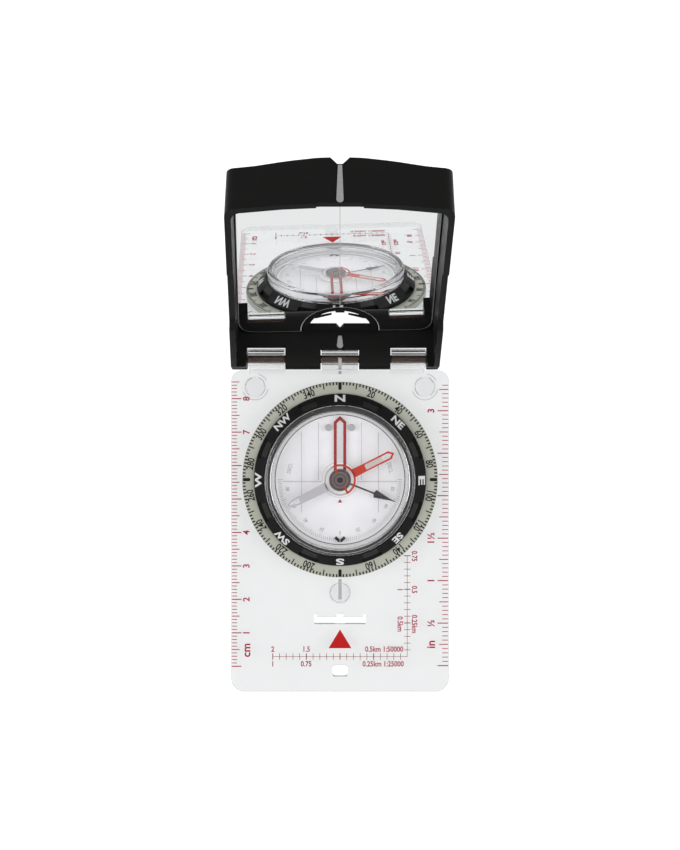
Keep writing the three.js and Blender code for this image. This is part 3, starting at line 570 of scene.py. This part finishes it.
def build_bezel():
    dress(refined("azimuth_ring", 0.1, 2), LOOKS["luminous"], "bezel", ["azimuth_ring"])
    ring = dress(refined("bezel_ring", 0.15, 2), LOOKS["bezel"], "bezel", ["bezel_ring"])
    # Faces of the grip notches sloping up towards the light get the lighter grey: painted sheen.
    ring.data.materials.append(LOOKS["grip"])
    for face in ring.data.polygons:
        middle = face.center / MM
        turn = math.degrees(math.atan2(middle.x, middle.y)) % 45 - 22.5
        sloping = 0.3 < face.normal.z < 0.95 and math.hypot(middle.x, middle.y) > 22.6
        face.material_index = int(sloping and abs(turn) < GRIP_HALF_ANGLE)
    dress(refined("retaining_ring", 0.1, 1), LOOKS["capsule"], "bezel", ["retaining_ring"])
    bm = bmesh.new()
    z0, z1 = RING_TOP + INK_LIFT, RING_TOP + INK_LIFT + INK
    for degrees in range(0, 360, 2):
        place = on_ring(degrees, 0, 0)
        if degrees % 90 == 0:
            outline = [(0.48, RING_OUTER - 0.25), (-0.48, RING_OUTER - 0.25), (-0.48, 27.0)]
            outline += [(-0.25, 26.7), (0.25, 26.7), (0.48, 27.0)]
            prism(bm, outline, z0, z1, place)
            continue
        inner = 27.2 if degrees % 20 == 10 else 28.15
        half_width = 0.16 if degrees % 20 == 10 else 0.21
        bar(bm, -half_width, inner, half_width, RING_OUTER - 0.15, z0, z1, place)
        if degrees % 20 == 0:
            add_text(bm, str(degrees), 2.1, on_ring(degrees, 26.95, RING_TOP), stretch=0.8, weight=0.055)
    dress(finish_mesh("print_degrees", bm, UPRIGHT), LOOKS["black_ink"], "bezel")
    bm = bmesh.new()
    slope = math.degrees(math.atan2(2.0, 2.3))
    for i, (letters, stretch) in enumerate(zip(LETTERS, LETTER_STRETCH)):
        place = on_ring(45 * i, 24.05, 7.6, slope)
        add_text(bm, letters, 2.6, place, stretch=stretch, weight=0.12)
    dress(finish_mesh("print_compass_letters", bm, UPRIGHT), LOOKS["letter"], "bezel")


CAPSULE_INNER = 20.2
COVER_INNER = 20.4
FLOOR_TOP = 1.2
CEILING = 10.8


def build_capsule():
    housing = refined("capsule_housing", 0.15, 2)
    dress(housing, LOOKS["capsule"], "bezel", ["capsule_housing"])
    dress(refined("capsule_cover", 0.3, 4), LOOKS["capsule"], "bezel", ["capsule_cover"])
    dress(refined("dial_disc", 0, 1), LOOKS["immersed"], "bezel", ["dial_disc"])
    bm = bmesh.new()
    level = high("dial_disc").z
    lathe(bm, [(5.4, level), (19.45, level), (19.45, level + 0.008), (5.4, level + 0.008)])
    # This white print carries the dial material's painted glow.
    dress(finish_mesh("print_dial_white", bm, UPRIGHT), LOOKS["dial"], "bezel")
    bm = bmesh.new()
    lathe(bm, [(19.2, level + 0.012), (19.42, level + 0.012), (19.42, level + 0.02), (19.2, level + 0.02)])
    dress(finish_mesh("print_dial_rim", bm, UPRIGHT), LOOKS["dark_ink"], "bezel")
    bm = bmesh.new()
    wall, ceiling = CAPSULE_INNER + 0.1, COVER_INNER + 0.1
    profile = [(0, FLOOR_TOP - 0.1), (wall, FLOOR_TOP - 0.1), (wall, 8.25), (ceiling, 8.25)]
    profile += [(ceiling, CEILING + 0.1), (0, CEILING + 0.1)]
    lathe(bm, profile)
    dress(finish_mesh("damping_liquid", bm, UPRIGHT), LOOKS["liquid"], "bezel")
    # A black ring painted in under the cover's clear rim, where the black bezel is only seen bent through the
    # clear wall: a painted reflection.
    bm = bmesh.new()
    lathe(bm, [(20.6, 8.12), (21.25, 8.12), (21.25, 8.38), (20.6, 8.38)])
    dress(finish_mesh("capsule_painted_dark_ring", bm, UPRIGHT), LOOKS["pointer"], "bezel")
    dress(refined("pivot_post", 0.05, 1), LOOKS["steel"], "bezel", ["pivot_post"])
    dress(refined("fill_plug", 0.08, 2), LOOKS["rubber"], "bezel", ["fill_plug"])
    screw = refined("declination_screw", 0.05, 1)
    dress(screw, LOOKS["brass"], "declination_key", ["declination_screw"])


def build_dial_print():
    plate = refined("declination_plate", 0, 1)
    dress(plate, LOOKS["immersed"], "declination_arrow", ["declination_plate"])
    for side in ("left", "right"):
        node = "luminous_dot_" + side
        dress(refined(node, 0.06, 2), LOOKS["pale_ink"], "declination_arrow", [node])
    z0, z1 = DIAL_TOP + INK_LIFT, DIAL_TOP + INK_LIFT + INK
    bm = bmesh.new()
    for side in (-1, 1):
        outline = [(side * 1.85, 1.5), (side * 1.85, 17.2), (0, 18.95)]
        outline += [(0, 17.75), (side * 0.97, 16.8), (side * 0.97, 1.5)]
        prism(bm, outline, z0, z1)
    prism(bm, [(-0.65, -6.8), (0.65, -6.8), (0, -5.7)], z0, z1)
    arrow = finish_mesh("print_orienting_arrow", bm, UPRIGHT)
    dress(arrow, LOOKS["orient_red"], "declination_arrow")
    bm = bmesh.new()
    for x, bottom in ((6.35, 0.0), (11.45, -9.7)):
        top = math.sqrt(18.2 ** 2 - x ** 2)
        for side in (-1, 1):
            bar(bm, side * x - 0.08, bottom, side * x + 0.08, top, z0, z1)
    for side in (-1, 1):
        x0, x1 = sorted((side * 5.3, side * 17.0))
        bar(bm, x0, -0.65, x1, -0.5, z0, z1)
    dress(finish_mesh("print_meridians", bm, UPRIGHT), LOOKS["pale_ink"], "declination_arrow")
    bm = bmesh.new()
    for side in (-1, 1):
        outline = [(0.08, -18.55), (0.08, -17.75), (1.15, -16.75), (1.75, -17.4), (0.45, -18.6)]
        prism(bm, [(side * x, y) for x, y in outline], z0, z1)
    dress(finish_mesh("print_index_wedges", bm, UPRIGHT), LOOKS["black_ink"], "declination_arrow")


def build_hub_backing():
    """White ring printed round the hub, which hides the declination gear; it has the dial print's painted
    glow.
    """
    bm = bmesh.new()
    profile = [(1.5, DIAL_TOP + 0.005), (5.15, DIAL_TOP + 0.005)]
    profile += [(5.15, DIAL_TOP + 0.009), (1.5, DIAL_TOP + 0.009)]
    lathe(bm, profile)
    dress(finish_mesh("print_hub_backing", bm, UPRIGHT), LOOKS["dial"], "declination_arrow")


def build_scale_print():
    """The clinometer and declination scales, printed on the disc at the capsule's bottom."""
    bm = bmesh.new()
    level = high("dial_disc").z
    z0, z1 = level + INK_LIFT, level + INK_LIFT + INK
    for degrees in range(90, 271, 2):
        if 176 < degrees < 184:
            continue
        inner = 17.0 if degrees % 10 == 0 else 17.45
        bar(bm, -0.055, inner, 0.055, 18.5, z0, z1, on_ring(degrees, 0, 0))
    for degrees, words in zip(range(100, 261, 20), ("80", "60", "40", "20", "0", "20", "40", "60", "80")):
        add_text(bm, words, 1.15, on_ring(degrees, 15.8, level), stretch=0.8)
    for side in (-1, 1):
        add_text(bm, "DECL.", 1.15, on_ring(90 * side - side * 13, 15.3, level), stretch=0.8)
    dress(finish_mesh("print_dial_scales", bm, UPRIGHT), LOOKS["grey_ink"], "bezel")


# Needle --------------------------------------------------------------------------------------


def half_ring(inner, outer, steps=32):
    """Upper half of a ring, as an outline anticlockwise from +X."""
    return arc_points(outer, 0, 180, steps) + list(reversed(arc_points(inner, 0, 180, steps)))


def build_needle():
    turn = Matrix.Rotation(math.radians(-NEEDLE_AZIMUTH), 4, "Z")
    back = turn @ Matrix.Rotation(math.pi, 4, "Z")
    z0, z1 = NEEDLE_BOTTOM, NEEDLE_TOP
    bm = bmesh.new()
    prism(bm, half_ring(4.1, 4.7), z0, z1, turn)
    for side in (-1, 1):
        x0, x1 = sorted((side * 3.45, side * 4.4))
        bar(bm, x0, 0.0, x1, 0.6, z0 + 0.02, MAGNET_TOP + 0.12, turn)
        outline = [(side * 1.9, 0.0), (side * 3.6, 0.0), (side * 3.6, 0.6), (side * 2.1, 0.4)]
        prism(bm, outline, MAGNET_TOP + 0.04, MAGNET_TOP + 0.12, turn)
    prism(bm, [(-1.3, 4.4), (1.3, 4.4), (1.2, 8.4), (-1.2, 8.4)], z0, z1, turn)
    for side in (-1, 1):
        outline = [(side * 1.2, 8.3), (side * 1.28, 16.5), (0, 17.9)]
        outline += [(0, 17.1), (side * 0.76, 16.2), (side * 0.78, 8.3)]
        prism(bm, outline, z0 + 0.01, z1, turn)
    north = finish_mesh("needle_north_fine", bm, UPRIGHT)
    dress(north, LOOKS["needle_red"], "needle", ["needle_north"])
    bm = bmesh.new()
    bar(bm, -0.8, 8.45, 0.8, 14.0, z0 + 0.05, z1 - 0.04, turn)
    dress(finish_mesh("needle_luminous_window", bm, UPRIGHT), LOOKS["needle_glow"], "needle")
    bm = bmesh.new()
    prism(bm, half_ring(4.1, 4.7), z0, z1, back)
    prism(bm, [(-1.35, 4.4), (1.35, 4.4), (1.2, 13.4), (-1.2, 13.4)], z0, z1, back)
    for side in (-1, 1):
        outline = [(side * 1.2, 13.3), (side * 0.9, 16.2), (0, 17.3)]
        outline += [(0, 16.8), (side * 0.55, 16.0), (side * 0.75, 13.3)]
        prism(bm, outline, z0 + 0.01, z1, back)
    south = finish_mesh("needle_south_fine", bm, UPRIGHT)
    dress(south, LOOKS["needle_white"], "needle", ["needle_south"])
    magnet = refined("needle_magnet", 0.15, 2)
    dress(magnet, LOOKS["magnet"], "needle", ["needle_magnet"])
    dress(refined("needle_jewel", 0, 1), LOOKS["jewel"], "needle", ["needle_jewel"])
    bm = bmesh.new()
    for inner, outer in ((1.55, 1.85), (2.55, 3.0)):
        top = MAGNET_TOP + INK
        lathe(bm, [(inner, MAGNET_TOP), (outer, MAGNET_TOP), (outer, top), (inner, top)])
    dress(finish_mesh("magnet_rings", bm, UPRIGHT), LOOKS["dark_ink"], "needle")
    bm = bmesh.new()
    lathe(bm, [(0, MAGNET_TOP), (0.85, MAGNET_TOP), (0.7, MAGNET_TOP + 0.15), (0, MAGNET_TOP + 0.2)])
    dress(finish_mesh("magnet_cap", bm, UPRIGHT), LOOKS["jewel"], "needle")
    pointer = refined("clinometer_pointer", 0.04, 1)
    dress(pointer, LOOKS["pointer"], "clinometer", ["clinometer_pointer"])


# Room: floor, lights, camera -----------------------------------------------------------------

CAMERA = Vector((0, 20.5, 418.0))
CAMERA_LENS = 58.79
CAMERA_SHIFT = -0.0168


def build_camera():
    data = bpy.data.cameras.new("camera")
    data.sensor_width = 36.0
    data.lens = CAMERA_LENS
    data.shift_y = CAMERA_SHIFT
    data.clip_start = 0.01
    data.clip_end = 10.0
    camera = bpy.data.objects.new("camera", data)
    camera.location = CAMERA * MM
    SCENE.collection.objects.link(camera)
    SCENE.camera = camera


def softbox(name, location, size, power, target=(0, 0, 0)):
    data = bpy.data.lights.new(name, "AREA")
    data.shape = "RECTANGLE"
    data.size, data.size_y = size
    data.energy = power
    lamp = bpy.data.objects.new(name, data)
    lamp.location = location
    direction = Vector(target) - Vector(location)
    lamp.rotation_euler = direction.to_track_quat("-Z", "Y").to_euler()
    SCENE.collection.objects.link(lamp)


def build_room():
    bm = bmesh.new()
    floor_level = low("foot_rear").z
    bar(bm, -2500, -2500, 2500, 2500, floor_level - 20, floor_level - 0.01)
    floor = finish_mesh("floor", bm, UPRIGHT)
    floor.data.materials.append(light_table("floor_white", (0.30, 0.30, 0.30), 0.62, 0.95))
    world = bpy.data.worlds.new("studio")
    world.use_nodes = True
    world.node_tree.nodes["Background"].inputs["Color"].default_value = (1, 1, 1, 1)
    world.node_tree.nodes["Background"].inputs["Strength"].default_value = 0.32
    SCENE.world = world
    SCENE.view_settings.view_transform = "Standard"
    softbox("softbox_left", (-0.75, -0.05, 0.75), (0.7, 0.9), 6.6)
    softbox("softbox_right", (0.75, 0.0, 0.75), (0.7, 0.9), 6.2)
    softbox("softbox_front", (0.0, -1.2, 0.62), (1.8, 0.9), 4.4)


build_baseplate()
build_rulers()
build_map_scales()
build_direction_arrow()
build_lid()
build_bezel()
build_capsule()
build_dial_print()
build_hub_backing()
build_scale_print()
build_needle()
build_camera()
build_room()
